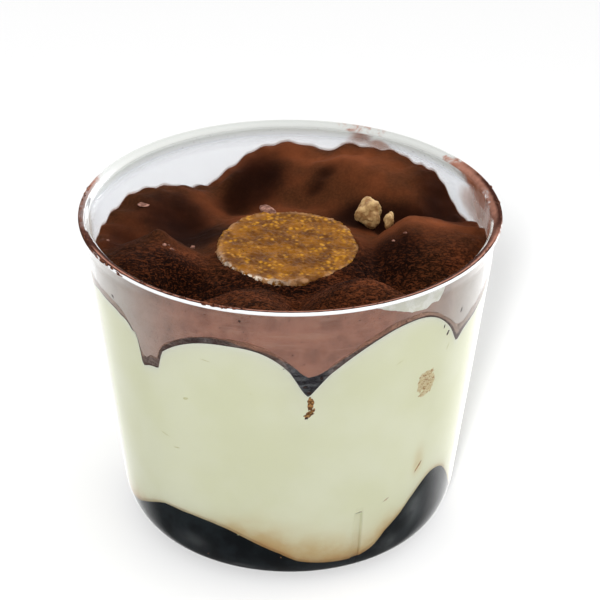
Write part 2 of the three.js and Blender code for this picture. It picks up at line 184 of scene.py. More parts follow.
# Lower edge of the cream that was smeared under the lip: azimuth, z
SMEAR = (
    (22.5, 70.9), (26.5, 69.6), (31.3, 68.2), (34.7, 67.1), (37.2, 66.8), (40.1, 66.5), (41.9, 67.4),
    (44.7, 67.3), (46, 68.8), (46.6, 70), (46.8, 70.9),
)
# Lenses pressed against the wall: azimuth, z, half width, half height in mm, turn in degrees
SOAKED_BITS = (
    (42, 47.6, 1.2, 2.6, -6), (44.2, 47.2, 1.3, 2.6, -6), (46, 46.6, 0.9, 2.3, -6),
    (43.4, 49.4, 2.1, 0.8, 8), (43.4, 44.6, 1.5, 0.8, 8),
)
BROWN_STREAKS = (
    (45.7, 24.7, 0.22, 1.6, -38), (33.2, 19.3, 0.1, 0.75, -62), (6, 48.6, 0.72, 1.9, 4),
    (5.6, 46, 0.65, 1.3, -48), (6.9, 46.9, 0.3, 0.6, -20), (-29.5, 4.8, 0.14, 0.16, 0),
    (-2.6, 7.4, 0.16, 0.16, 0),
)
DARK_SPECKS = (
    (-58.6, 63.3, 0.22, 0.45, 60), (-13.5, 68.6, 0.22, 0.3, 30), (56.1, 61.3, 0.2, 0.62, -12),
    (8.9, 55, 0.36, 0.5, 0), (4.4, 53, 0.5, 0.3, 20), (5.6, 51.4, 0.42, 0.36, 0),
    (4.9, 45, 0.3, 0.45, -60), (6.2, 46, 0.22, 0.55, -55), (-23.4, 68.9, 0.1, 0.12, 0),
    (0.8, 61, 0.12, 0.14, 0), (7, 62.2, 0.1, 0.12, 0), (-1.6, 57.6, 0.16, 0.16, 0),
    (50.6, 57.6, 0.3, 0.7, -28), (48.4, 59.8, 0.2, 0.45, -10), (-19, 66.2, 0.1, 0.1, 0),
    (4, 58.6, 0.12, 0.12, 0),
)
AIR_MARKS = (
    (-23.9, 57.4, 1.15, 0.09, -8), (-31.7, 46.1, 0.7, 0.3, 20), (-41.3, 34.4, 1.2, 0.12, -12),
    (-71, 31.4, 0.8, 0.2, 30), (32.5, 55.3, 0.9, 0.09, 24), (51.6, 53.8, 0.12, 0.8, -22),
    (-11, 50.8, 0.16, 0.16, 0), (-37, 32, 0.9, 0.14, 10), (-18.5, 33, 0.12, 0.12, 0),
    (-17, 12.6, 0.2, 0.14, 0),
)
# Grey band just above the cream, painted reflection of the wall's grey sheen over the powder's shaded
# side: azimuth, height in mm, 0 for brown to 1 for slate
BAND = (
    (-95, 0.2, 0), (-56, 0.35, 0), (-50, 0.6, 0), (-46, 2.6, 0.25), (-41, 2.6, 0.3), (-38, 1.2, 0.1),
    (-34, 1.5, 0.3), (-28, 1.7, 0.6), (-22, 1.6, 0.6), (-17, 1.4, 0.5), (-14, 0.7, 0.2), (-9, 0.5, 0.1),
    (-6, 0.9, 0.3), (-2, 1.5, 0.5), (1, 2.6, 0.9), (3, 6, 1), (7, 6, 1), (9, 3, 0.9), (12, 1.7, 0.6),
    (18, 1.2, 0.4), (22, 0.6, 0.1), (30, 0.35, 0), (48, 0.4, 0), (53, 1.2, 0.2), (57, 1.8, 0.2),
    (62, 0.6, 0), (95, 0.3, 0),
)
# Light bits on the powder: x, y, size, turn
PALE_BITS = (
    (-32.2, 17, (1.3, 1.1, 0.14), 0), (-21, 2.6, (0.5, 0.42, 0.55), 20),
    (-26.7, -5, (0.55, 0.45, 0.3), 40), (-25, -5.9, (0.6, 0.35, 0.25), -30),
    (-25.8, -4.4, (0.3, 0.25, 0.2), 10), (24.5, -0.6, (0.5, 0.35, 0.2), 0),
    (22, -1.6, (0.35, 0.3, 0.2), 0), (-39.2, 2.4, (0.4, 0.5, 0.3), 0),
)
WEDGE = (-5.0, 15.6, 63.7, (1.5, 2.6, 0.8), 30)  # crumb at the back of the biscuit

BISCUIT_X, BISCUIT_Y, BISCUIT_RADIUS, BISCUIT_TOP = -0.4, -0.3, 15.5, 63.6
BISCUIT_THICKNESS, BISCUIT_TILT, BISCUIT_UNEVEN = 2.1, 1.5, 0.035

# name, x, y, size, turn
NUTS = (
    ("nut_large_piece", "nut_large", 17.1, 14.0, (3.1, 2.8, 3.2), 20),
    ("nut_small_piece", "nut_small", 21.4, 8.6, (1.1, 1.5, 1.9), -25),
)

# ---- camera
CAMERA_ELEVATION = 0.5310
CAMERA_DISTANCE = 552.833
CAMERA_ROLL = -0.005
CAMERA_YAW = -0.004
CAMERA_PITCH = 0.022
CAMERA_LENS = 151.2
SENSOR = 36.0

# ---- meshes
EVEN_COLUMNS = np.arange(480) * 0.75  # azimuths of the powder's and the film's points
COCOA_RINGS = 150
BISCUIT_SEGMENTS, BISCUIT_STEPS = 240, 64
LENS_SEGMENTS = 32
FILM_ROWS = 26
SMEAR_COLUMNS, SMEAR_ROWS, SMEAR_TOP = 90, 16, 70.95


# ---- formulas
def smoothstep(x, low, high):
    t = np.clip((np.asarray(x, float) - low) / (high - low), 0, 1)
    return t * t * (3 - 2 * t)


def mix(a, b, t):
    return a + (b - a) * t


def on_plan(azimuth, radius):
    """x and y of a place, with the azimuth in degrees."""
    a = np.radians(azimuth)
    return radius * np.sin(a), -radius * np.cos(a)


def rotated(x, y, turn):
    """A place turned round the origin, in degrees."""
    c, s = math.cos(math.radians(turn)), math.sin(math.radians(turn))
    return x * c - y * s, x * s + y * c


def turn_between(a, b):
    """Signed angle from b to a, from -180 to 180 degrees."""
    return (np.asarray(a, float) - b + 180) % 360 - 180


def blend_max(values, softness):
    """Maximum of several surfaces, rounded off where two of them are close."""
    stack = np.stack(np.broadcast_arrays(*values))
    highest = stack.max(0)
    return highest + softness * np.log(np.exp((stack - highest) / softness).sum(0))


def bezier(a, b, c, d, count):
    t = np.linspace(0, 1, count)[:, None]
    a, b, c, d = (np.array(p, float) for p in (a, b, c, d))
    return a * (1 - t) ** 3 + 3 * b * t * (1 - t) ** 2 + 3 * c * t * t * (1 - t) + d * t**3


def wall_outline(wall, floor):
    """(radius, z) from the edge of the base to the underside of the lip."""
    base, corner = BASE_RADIUS - wall / 2, CORNER_RADIUS - wall
    taper = (NECK_RADIUS - CORNER_RADIUS) / (NECK_HEIGHT - CORNER_HEIGHT)
    rows = bezier(
        (base, floor),
        (base + CORNER_FLAT_HANDLE, floor),
        (corner - taper * CORNER_WALL_HANDLE, CORNER_HEIGHT - CORNER_WALL_HANDLE + floor / 4),
        (corner, CORNER_HEIGHT),
        24,
    ).tolist()
    for z in (14, 17.2, RIB_TOP - 0.1, RIB_TOP + 0.1, 18.2, 24, 32, 40, 48, 56):
        rows.append((corner + taper * (z - CORNER_HEIGHT), z))
    rows += [(NECK_RADIUS - wall, NECK_HEIGHT), ((NECK_RADIUS + LIP_ROOT_RADIUS) / 2 - wall, 66.8)]
    return [*rows, (LIP_ROOT_RADIUS - wall, LIP_UNDERSIDE)]


OUTSIDE = wall_outline(0, 0)
INSIDE = wall_outline(WALL, FLOOR)


def inside_radius(z):
    return np.interp(z, [p[1] for p in INSIDE], [p[0] for p in INSIDE])


def rib_push(azimuth, z):
    """How far a stacking rib pushes the inside of the wall inwards, in mm."""
    push = 0.0
    for rib in RIB_AZIMUTHS:
        along = np.abs(np.radians(turn_between(azimuth, rib))) * inside_radius(z)
        push = push + (1 - smoothstep(along, RIB_WIDTH / 2 - 0.12, RIB_WIDTH / 2 + 0.12))
    below_top = 1 - smoothstep(z, RIB_TOP - 0.15, RIB_TOP + 0.15)
    return RIB_DEPTH * push * below_top * smoothstep(z, FLOOR, FLOOR + 1.5)


def dollop_height(dollop, radius, azimuth):
    az, sway, ring, crest, foot, wall, left, right = dollop
    wall_radius = float(inside_radius(wall))
    outward = np.clip((radius - ring) / (wall_radius - ring), 0, 1)
    turn = turn_between(azimuth, az + sway * (1 - outward))
    side = turn < 0
    span, wall_drop, crest_drop, shoulder = (np.where(side, a, b) for a, b in zip(left, right))
    valley = mix(crest_drop, wall_drop, outward) * (np.abs(turn) / span) ** shoulder
    inner = (crest - HOLLOW_FLOOR) * (1 - smoothstep(radius, foot, ring))
    return crest - (crest - wall) * outward**2 - inner - valley


def surface_height(radius, azimuth, softness):
    heights = [dollop_height(d, radius, azimuth) for d in DOLLOPS]
    floor = HOLLOW_FLOOR - HOLLOW_FALL * np.maximum(0, radius - HOLLOW_RADIUS)
    surface = blend_max([blend_max(heights, softness), floor], CREAM_BLEND)
    a = np.radians(azimuth)
    x, y = on_plan(azimuth, radius)
    tip_x, tip_y = on_plan(TIP_AZIMUTH, TIP_RADIUS)
    from_tip = np.hypot(x - tip_x, y - tip_y)
    waves = np.sin(5 * a + radius / 5) + np.sin(9 * a - radius / 3.2)
    settled = smoothstep(radius, HOLLOW_RADIUS - 4, HOLLOW_RADIUS + 6)
    calm = 1 - smoothstep(radius, RIM_RADIUS - 9, RIM_RADIUS - 3)
    return surface + TIP_HEIGHT * np.exp(-((from_tip / TIP_SPREAD) ** 2)) + UNEVEN * waves * settled * calm


def cream_top(radius, azimuth):
    return surface_height(radius, azimuth, CREAM_BLEND)


def cocoa_top(radius, azimuth):
    softness = mix(CREAM_BLEND, COCOA_FILL, smoothstep(radius, COCOA_FILL_START, RIM_RADIUS - 4))
    return surface_height(radius, azimuth, softness) + COCOA


def coffee_top(radius, azimuth):
    swell = COFFEE_LEVEL
    for az, height, spread in COFFEE_SWELLS:
        along = turn_between(azimuth, az) / spread
        swell = swell + height * np.exp(-(along**2) * 0.5 * (1 + along**2 / 4))
    return mix(COFFEE_MIDDLE, swell, (radius / CORNER_RADIUS) ** 2)


def food_radius(azimuth, z):
    return inside_radius(z) + REACH - rib_push(azimuth, z)


def edge_height(surface, azimuths):
    """Height where a surface meets the wall, for each azimuth."""
    z = surface(np.full(len(azimuths), RIM_RADIUS - 3), azimuths)
    for _ in range(12):
        z = (z + surface(inside_radius(z) + REACH, azimuths)) / 2
    return z


def at_wall(radius):
    return smoothstep(radius, 32, 41.5)


def hollows(radius, azimuth):
    """How far the small hollows in the top lower it, in mm."""
    return ovals(*on_plan(azimuth, radius), DENTS) * (1 - at_wall(radius))


def fine_cream_top(radius, azimuth):
    shift = at_azimuth(CREAM_LINE, azimuth) + at_azimuth(COCOA_LINE, azimuth)
    under = 0.25 * (1 - at_wall(radius))
    return cream_top(radius, azimuth) + shift * at_wall(radius) - hollows(radius, azimuth) - under


def fine_cocoa_top(radius, azimuth):
    cream_shift = at_azimuth(CREAM_LINE, azimuth)
    shift = at_azimuth(COCOA_LINE, azimuth) + np.minimum(0, cream_shift + HIDDEN_DROP)
    shift = shift + RISE_SHARE * np.maximum(0, cream_shift)
    a = np.radians(azimuth)
    waves = 0.5 * np.sin(31 * a + 2 * np.sin(7 * a)) + 0.5 * np.sin(53 * a + 3 * np.sin(5 * a + 1))
    back = smoothstep(np.abs(turn_between(azimuth, 0)), 70, 100)
    wavy = EDGE_WAVES * waves * mix(0.25, 1, back)
    return cocoa_top(radius, azimuth) + (shift + wavy) * at_wall(radius) - hollows(radius, azimuth)


def fine_coffee_top(radius, azimuth):
    return coffee_top(radius, azimuth) + at_azimuth(COFFEE_LINE, azimuth) * (radius / CORNER_RADIUS) ** 4


def ovals(x, y, spots):
    """Sum of bells over oval spots, which are rows of x, y, length, width, turn and height."""
    total = 0.0
    for cx, cy, length, width, turn, height in spots:
        u, v = rotated(x - cx, y - cy, -turn)
        total = total + height * np.exp(-((u / length) ** 2) - (v / width) ** 2)
    return total


def wall_oval(azimuth, z, spot):
    """Bell of height 1 over a place on the wall."""
    return np.exp(-((turn_between(azimuth, spot[0]) / spot[2]) ** 2) - ((z - spot[1]) / spot[3]) ** 2)


def at_azimuth(table, azimuth, column=1):
    """Value of a table of (azimuth, values...) between its rows."""
    rows = sorted(table)
    return np.interp(turn_between(azimuth, 0), [r[0] for r in rows], [r[column] for r in rows], period=360)


def between_columns(azimuths, values, azimuth):
    """Value at any azimuth of what is given at a ring's azimuths."""
    return np.interp(azimuth % 360, np.append(azimuths, azimuths[0] + 360), np.append(values, values[0]))


def fbm(x, y, z, scale, octaves, seed):
    """Fractal noise of about -1 to 1 at points in millimetres."""
    flat = np.column_stack([np.ravel(v) for v in np.broadcast_arrays(x, y, z)]) / scale + seed
    values = [noise.fractal(Vector(p), 1.0, 2.0, octaves) for p in flat]
    return np.array(values).reshape(np.broadcast(x, y, z).shape)


# ---- meshes
def columns(count):
    """Azimuths round the cup, with extra ones along the sides of the ribs."""
    steps = (-1.5, -1.3, -1.15, -1.0, -0.5, 0, 0.5, 1.0, 1.15, 1.3, 1.5)
    extra = [rib + step for rib in RIB_AZIMUTHS for step in steps]
    even = np.arange(count) * 360 / count
    even = [a for a in even if min(abs(turn_between(a, rib)) for rib in RIB_AZIMUTHS) > 1.7]
    return np.array(sorted(a % 360 for a in [*even, *extra]))


def piece(name, points, faces):
    mesh = bpy.data.meshes.new(name)
    mesh.from_pydata([tuple(p) for p in np.asarray(points, float) * MM], [], faces)
    mesh.validate()
    mesh.polygons.foreach_set("use_smooth", [True] * len(mesh.polygons))
    mesh.update()
    return new_object(name, mesh)


def new_object(name, data):
    ob = bpy.data.objects.new(name, data)
    bpy.context.scene.collection.objects.link(ob)
    return ob


def rings_mesh(rings, first=None, last=None):
    """Points and faces through rings of equal count, with a pole at each end or closed in a loop."""
    count, total = len(rings[0]), len(rings)
    faces = []
    for i in range(total if first is None else total - 1):
        a, b = i * count, (i + 1) % total * count
        faces += [(a + k, b + k, b + (k + 1) % count, a + (k + 1) % count) for k in range(count)]
    if first is None:
        return np.vstack(rings), faces
    end, start = total * count, (total - 1) * count
    faces += [(end, k, (k + 1) % count) for k in range(count)]
    faces += [(end + 1, start + (k + 1) % count, start + k) for k in range(count)]
    return np.vstack([*rings, first, last]), faces


def sheet_mesh(rows):
    """Points and faces of a thin sheet, whose rows go up its one side and down its other."""
    count, total = len(rows[0]), len(rows)
    faces = []
    for i in range(total):
        a, b = i * count, (i + 1) % total * count
        faces += [(a + k, a + k + 1, b + k + 1, b + k) for k in range(count - 1)]
    for i in range(total // 2 - 1):
        end = [row * count for row in (i, i + 1, total - 2 - i, total - 1 - i)]
        faces += [end, [point + count - 1 for point in end[::-1]]]
    return np.vstack(rows), faces


def ring(azimuths, radius, z):
    x, y = on_plan(azimuths, radius)
    return np.column_stack([x, y, z + 0 * x])


def joined(name, parts):
    """One piece out of several lists of points and faces."""
    points, faces, start = [], [], 0
    for part_points, part_faces in parts:
        points.append(part_points)
        faces += [tuple(start + i for i in face) for face in part_faces]
        start += len(part_points)
    return piece(name, np.concatenate(points), faces)


def pebble(place, size, turn, seed, rows=9, segments=14):
    """Small lumpy bit: points and faces."""
    a = np.arange(segments) * 2 * math.pi / segments
    rings = []
    for i in range(rows - 1, 0, -1):
        t = math.pi * i / rows
        level = np.full(segments, -math.cos(t))
        rings.append(np.column_stack([math.sin(t) * np.cos(a), math.sin(t) * np.sin(a), level]))
    points, faces = rings_mesh(rings, (0, 0, 1), (0, 0, -1))
    x, y, z = (points * (1 + 0.3 * fbm(*points.T, 0.8, 3, seed))[:, None] * size).T
    return np.column_stack([*rotated(x, y, turn), z]) + place, faces


def wall_lens(azimuth, z, width, height, turn, seed, ragged, lift):
    """Thin lens that reaches into the wall and is sunk in the food behind it: points and faces."""
    t = np.arange(LENS_SEGMENTS) * 2 * math.pi / LENS_SEGMENTS
    reach = 1 + ragged * fbm(np.cos(t), np.sin(t), 0 * t, 0.55, 4, seed)
    rings = []
    for share, out in ((0.35, 0.9), (0.7, 0.6), (0.92, 0.2), (1.0, -0.3), (0.6, -2.0)):
        u, v = rotated(share * reach * width * np.cos(t), share * reach * height * np.sin(t), turn)
        along, up = azimuth + np.degrees(u / inside_radius(z)), z + v
        rings.append(ring(along, food_radius(along, up) + out * lift, up))
    place, wall = np.array([azimuth]), food_radius(azimuth, z)
    return rings_mesh(rings, ring(place, wall + lift, z), ring(place, wall - 2.5 * lift, z))


def attributes(ob, **values):
    """Numbers for each vertex, which the material reads by name."""
    for name, numbers in values.items():
        layer = ob.data.attributes.new(name, "FLOAT", "POINT")
        layer.data.foreach_set("value", np.asarray(numbers, np.float32))


def vertices(ob):
    """x, y and z of each vertex in millimetres, then its azimuth in degrees and its radius."""
    co = np.empty(len(ob.data.vertices) * 3)
    ob.data.vertices.foreach_get("co", co)
    x, y, z = (co.reshape(-1, 3) / MM).T
    return x, y, z, np.degrees(np.arctan2(x, -y)), np.hypot(x, y)


def top_rings(surface, azimuths, count, edge):
    """Rings over a surface, from the middle to the wall, whose height there is edge."""
    radii = [i / count * (inside_radius(edge) + REACH) for i in range(1, count)]
    inner = [ring(azimuths, radius, surface(radius, azimuths)) for radius in radii]
    return [*inner, ring(azimuths, food_radius(azimuths, edge), edge)]


def side_rings(azimuths, high, low, rows):
    heights = [mix(high, low, i / rows) for i in range(1, rows)]
    return [ring(azimuths, food_radius(azimuths, z), z) for z in heights]


# ---- materials
class Nodes:
    """Short hand for building the nodes of a material or of the world."""

    def __init__(self, name, kind="Material"):
        self.owner = (bpy.data.worlds if kind == "World" else bpy.data.materials).new(name)
        self.owner.use_nodes = True
        self.tree = self.owner.node_tree
        self.tree.nodes.clear()
        self.output = self.add("Output" + kind)

    def add(self, kind, **values):
        node = self.tree.nodes.new("ShaderNode" + kind)
        for key, value in values.items():
            setattr(node, key, value)
        return node

    def put(self, socket, value):
        """Links a socket to another one or to a vertex attribute given by name, or sets it."""
        if isinstance(value, str):
            value = self.add("Attribute", attribute_name=value).outputs["Fac"]
        if isinstance(value, bpy.types.NodeSocket):
            self.tree.links.new(value, socket)
        else:
            socket.default_value = value

    def feed(self, node, *values, **named):
        """Sets or links a node's first inputs, and others by name with _ for each blank."""
        for i, value in enumerate(values):
            self.put(node.inputs[i], value)
        for key, value in named.items():
            self.put(node.inputs[key.replace("_", " ")], value)
        return node.outputs[0]

    def texture(self, kind, size_mm, stretch=None, **values):
        place = self.add("TexCoord").outputs["Object"]
        if stretch:
            place = self.feed(self.add("Mapping"), place, Scale=stretch)
        return self.feed(self.add(kind), Vector=place, Scale=1 / (size_mm * MM), **values)

    def noise(self, size_mm, detail, rough=0.55, distort=0.0, stretch=None):
        values = {"Detail": detail, "Roughness": rough, "Distortion": distort}
        return self.texture("TexNoise", size_mm, stretch, **values)

    def scale(self, value, low, high, to_low=0.0, to_high=1.0, curve="SMOOTHSTEP"):
        return self.feed(self.add("MapRange", interpolation_type=curve), value, low, high, to_low, to_high)

    def math(self, operation, a, b=0.0):
        return self.feed(self.add("Math", operation=operation), a, b)

    def times(self, a, b):
        return self.math("MULTIPLY", a, b)

    def plus(self, a, b):
        return self.math("ADD", a, b)

    def dot(self, vector, other):
        node = self.add("VectorMath", operation="DOT_PRODUCT")
        self.feed(node, vector, other)
        return node.outputs["Value"]

    def mix(self, factor, a, b):
        node = self.add("Mix", data_type="RGBA")
        for i, value in ((0, factor), (6, a), (7, b)):
            self.put(node.inputs[i], (*value, 1) if isinstance(value, tuple) else value)
        return node.outputs[2]

    def blend(self, factor, first, second):
        return self.feed(self.add("MixShader"), factor, first, second)

    def bump(self, height, strength, distance_mm, **normal):
        distance = distance_mm * MM
        return self.feed(self.add("Bump"), Height=height, Strength=strength, Distance=distance, **normal)

    def principled(self, colour, rough, shine, **values):
        """Principled shader of a colour, a roughness and a specular level."""
        values.update(Base_Color=colour, Roughness=rough, Specular_IOR_Level=shine)
        return self.feed(self.add("BsdfPrincipled"), **values)

    def surface(self, shader):
        self.put(self.output.inputs["Surface"], shader)
        return self.owner

    def finish(self, colour, rough, shine, **values):
        return self.surface(self.principled(colour, rough, shine, **values))


def rgb(*display):
    """Linear colour of a display colour from 0 to 255."""
    shares = (v / 255 for v in display)
    return tuple(v / 12.92 if v <= 0.04045 else ((v + 0.055) / 1.055) ** 2.4 for v in shares)


def finish_piece(ob, node, material):
    ob.data.materials.append(material)
    if node:
        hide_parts(node)
    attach(ob, "root")


# ---- cup
def on_bead(angle, gap=0.0):
    """(radius, z) on the lip's bead, with the angle in radians from straight outwards."""
    reach = LIP_BEAD + gap
    return RIM_RADIUS - LIP_BEAD + reach * math.cos(angle), CUP_HEIGHT - LIP_BEAD + reach * math.sin(angle)


def lip_outline():
    """(radius, z) round the bead and down the flare to the inside of the wall."""
    bead = [on_bead(a) for a in np.radians(np.linspace(-90, 135, 16))]
    top, end = np.array(bead[-1]), np.array([LIP_ROOT_RADIUS - WALL, LIP_UNDERSIDE])
    pull = end + (0, LIP_FLARE_HANDLE)
    return bead + [top * (1 - t) ** 2 + 2 * pull * t * (1 - t) + end * t * t for t in (0.2, 0.4, 0.6, 0.8)]


def make_cup():
    azimuths = columns(288)
    rings = [ring(azimuths, r, 0.0) for r in (8.0, 17.0, 24.0, 26.6)]
    rings += [ring(azimuths, r, z) for r, z in [*OUTSIDE, *lip_outline()]]
    rings += [ring(azimuths, r - rib_push(azimuths, z), z) for r, z in reversed(INSIDE)]
    rings += [ring(azimuths, r, FLOOR) for r in (26.0, 23.0, 16.0, 8.0)]
    cup = piece("clear_cup", *rings_mesh(rings[::-1], (0, 0, FLOOR), (0, 0, 0)))
    _, _, z, az, radius = vertices(cup)
    turn = np.degrees(np.arctan2(z - CUP_HEIGHT + LIP_BEAD, radius - RIM_RADIUS + LIP_BEAD))
    turn = np.where(turn < -110, turn + 360, turn)
    rising, topping, falling = (smoothstep(turn, *span) for span in ((42, 58), (72, 88), (128, 146)))
    zones = np.array((1 - rising, rising * (1 - topping), topping * (1 - falling), falling))
    amounts = [at_azimuth(LIP_DUST, az, column) for column in (1, 2, 2, 3)]
    amounts[3] = amounts[3] * mix(smoothstep(z, 71.5, 71.8), 1.0, smoothstep(np.abs(az), 78, 92))
    tones = [at_azimuth(LIP_DUST, az, column) for column in (4, 5, 5, 6)]
    tones[1] = mix(tones[1], 1.0, 1 - smoothstep(np.abs(az), 66, 76))
    behind = smoothstep(np.abs(az), 92, 125)
    # lip marks the outer half of the bead and the lip behind, where a white painted highlight and grey
    # painted shade go.
    attributes(
        cup,
        lip=np.maximum(1 - rising, 0.9 * behind) * smoothstep(z, 71.0, 71.25),
        behind=behind,
        lip_dust=(zones * amounts).sum(0) * smoothstep(z, 70.9, 71.2),
        lip_tone=(zones * tones).sum(0),
    )
    finish_piece(cup, "cup", clear_plastic())


def clear_plastic():
    n = Nodes("clear_plastic")
    rough = n.scale(n.noise(9, 3), 0.4, 0.7, 0.02, 0.05)
    dents = n.bump(n.noise(14, 2), 0.08, 0.3)
    plastic = n.principled(
        (0.985, 0.99, 0.995, 1), rough, 0.2, IOR=1.49, Transmission_Weight=1.0, Normal=dents
    )
    # Painted highlight and shade on the lip: the bead's outer half is painted near white, and the lip
    # behind is painted grey as painted shade.
    white = n.mix("behind", (0.93, 0.94, 0.95), (0.61, 0.625, 0.60))
    milky = n.principled(white, 0.2, 0.6)
    edge = n.blend(n.times("lip", 0.92), plastic, milky)
    clumps = n.noise(1.3, 5, rough=0.62, distort=0.5)
    amount = n.plus("lip_dust", n.times(clumps, 0.7))
    uneven = n.plus("lip_tone", n.times(n.plus(clumps, -0.5), 0.8))
    tone = n.mix(n.scale(uneven, 0.0, 1.0), rgb(168, 118, 100), rgb(56, 25, 16))
    dust = n.principled(tone, 0.9, 0.1)
    wall = n.blend(n.scale(amount, 0.72, 0.98), edge, dust)
    clear = n.feed(n.add("BsdfTransparent"), Color=(0.94, 0.95, 0.955, 1))
    return n.surface(n.blend(n.add("LightPath").outputs["Is Shadow Ray"], wall, clear))


# ---- the layers
def make_coffee():
    azimuths = columns(360)
    edge = edge_height(fine_coffee_top, azimuths)
    top = top_rings(fine_coffee_top, azimuths, 14, edge)
    low = FLOOR - REACH
    rings = top + side_rings(azimuths, edge, low + 0 * edge, 22)
    rings += [ring(azimuths, r, low) for r in (26.8, 20.0, 10.0)]
    ob = piece("coffee_soaked_layer", *rings_mesh(rings, (0, 0, COFFEE_MIDDLE), (0, 0, low)))
    _, _, z, az, _ = vertices(ob)
    attributes(ob, haze=np.minimum(1, sum(spot[4] * wall_oval(az, z, spot) for spot in COFFEE_HAZE)))
    finish_piece(ob, "coffee_layer", coffee_material())


def coffee_material():
    n = Nodes("coffee_soaked_sponge")
    colour = n.mix(n.scale(n.noise(6, 3), 0.4, 0.65), (0.005, 0.007, 0.009), (0.016, 0.021, 0.025))
    # Grey clouds over the dark coffee: painted reflection.
    cloud = n.times("haze", n.scale(n.noise(5, 3), 0.3, 0.6, 0.5, 1.0))
    colour = n.mix(cloud, colour, rgb(100, 103, 104))
    return n.finish(colour, 0.5, 0.0)


CREAM_SHADE, CREAM_LIGHT = (0.83, 0.84, 0.62), (0.87, 0.88, 0.69)


def make_cream():
    azimuths = columns(480)
    edge = edge_height(fine_cream_top, azimuths)
    low = edge_height(fine_coffee_top, azimuths)
    rings = top_rings(fine_cream_top, azimuths, 40, edge)
    rings += side_rings(azimuths, edge, low, 44)
    rings += top_rings(fine_coffee_top, azimuths, 8, low)[::-1]
    middle = float(cream_top(0.0, 0.0))
    ob = piece("cream_filling", *rings_mesh(rings, (0, 0, middle), (0, 0, COFFEE_MIDDLE)))
    _, _, z, az, _ = vertices(ob)
    above = np.maximum(0, z - between_columns(azimuths, low, az))
    below = np.maximum(0, between_columns(azimuths, edge, az) - z)
    stain = at_azimuth(STAIN, az, 2) * np.exp(-above / at_azimuth(STAIN, az, 1))
    stain = np.maximum(stain, 0.4 * wall_oval(az, z, HALO))
    attributes(ob, stain=stain, pale_edge=np.exp(-((below / 1.1) ** 2)))
    finish_piece(ob, "cream", cream_material())


def cream_material():
    n = Nodes("mascarpone_cream")
    base = n.mix(n.scale(n.noise(16, 3), 0.35, 0.7), CREAM_SHADE, CREAM_LIGHT)
    # Painted highlight: a pale bluish-white margin just below the cream's top edge at the wall.
    base = n.mix(n.times("pale_edge", 0.4), base, (0.84, 0.87, 0.83))
    uneven = n.times("stain", n.scale(n.noise(5, 4), 0.3, 0.65, 0.75, 1.15))
    colour = n.mix(n.scale(uneven, 0.0, 0.6), base, rgb(216, 194, 146))
    colour = n.mix(n.scale(uneven, 0.45, 1.15), colour, rgb(204, 158, 100))
    return n.finish(colour, 0.5, 0.3, Normal=n.bump(n.noise(2.5, 3), 0.15, 0.15))


COCOA_DULL, COCOA_WARM = rgb(60, 33, 17), rgb(92, 47, 25)


def creased(y):
    """How strongly the powder is creased: fully at the front, hardly at the back."""
    return 1 - smoothstep(y, -15.0, 6.0)


def powder_relief(x, y, z):
    """Height that clumps and creases add to the powder, in mm."""
    clumps = fbm(x, y, z, 4.2, 4, 3.1)
    creases = np.abs(fbm(x * 0.55, y, z, 1.35, 4, 9.3))
    grain = fbm(x, y, z, 0.8, 2, 7.7)
    fine = mix(0.2, 1.0, creased(y))
    return 0.26 * clumps + fine * (0.10 * grain - 0.22 * np.exp(-((creases / 0.10) ** 2)))


def bank_height(x, y):
    """Height of the powder that lies against the biscuit's edge, very low further off."""
    dx, dy = x - BISCUIT_X, y - BISCUIT_Y
    out, turn = np.hypot(dx, dy), np.degrees(np.arctan2(dx, -dy))
    places = (-180, -120, -75, -30, -8, 6, 22, 50, 95, 130, 180)
    below = (-1.5, -1.3, -0.7, -0.3, -0.7, -0.9, -0.1, 0.6, 0.45, -1.0, -1.5)
    offset = np.interp(turn, places, below)
    top = BISCUIT_TOP + dy * math.tan(math.radians(BISCUIT_TILT))
    away = out - biscuit_edge(np.radians(turn))
    bank = top + offset - 0.42 * np.maximum(0, away)
    return np.where(away > -1.2, bank - 6 * np.maximum(0, -away - 0.4), 0.0)


def make_cocoa():
    azimuths = EVEN_COLUMNS
    edge = edge_height(fine_cocoa_top, azimuths)
    under = edge_height(fine_cream_top, azimuths)
    points = np.concatenate(top_rings(fine_cocoa_top, azimuths, COCOA_RINGS, edge))
    x, y, z = points.T
    fade = 1 - smoothstep(np.hypot(x, y), RIM_RADIUS - 3.6, RIM_RADIUS - 2.3)
    bank = bank_height(x, y)
    points[:, 2] = np.where(bank > 1, blend_max([z, bank], 0.25), z) + powder_relief(x, y, z) * fade
    rings = list(points.reshape(COCOA_RINGS, len(azimuths), 3))
    rings += side_rings(azimuths, edge, under, 12)
    rings += [r + (0, 0, 0.02) for r in top_rings(fine_cream_top, azimuths, 12, under)[::-1]]
    middle = float(cocoa_top(0.0, 0.0))
    ob = piece("cocoa_powder", *rings_mesh(rings, (0, 0, middle), (0, 0, middle - COCOA)))
    x, y, z, az, radius = vertices(ob)
    behind = smoothstep(np.abs(az), 84, 112)
    touching = smoothstep(radius - food_radius(az, z), -0.05, -0.01)
    lifted = z - between_columns(azimuths, under, az)
    attributes(
        ob,
        moist=1 - np.exp(-2.4 * ovals(x, y, MOIST)),
        lit=np.minimum(1, ovals(x, y, LIT)),
        creased=creased(y),
        side=touching * (1 - 0.75 * behind),
        brown=np.maximum(film_brown(az), behind),
        band=1 - smoothstep(lifted / at_azimuth(BAND, az), 0.75, 1.15),
        band_tone=at_azimuth(BAND, az, 2),
        seam=(1 - smoothstep(lifted, 0.05, 0.38)) * (1 - 0.7 * smoothstep(np.abs(az), 42, 58)),
    )
    finish_piece(ob, "cocoa", cocoa_material())


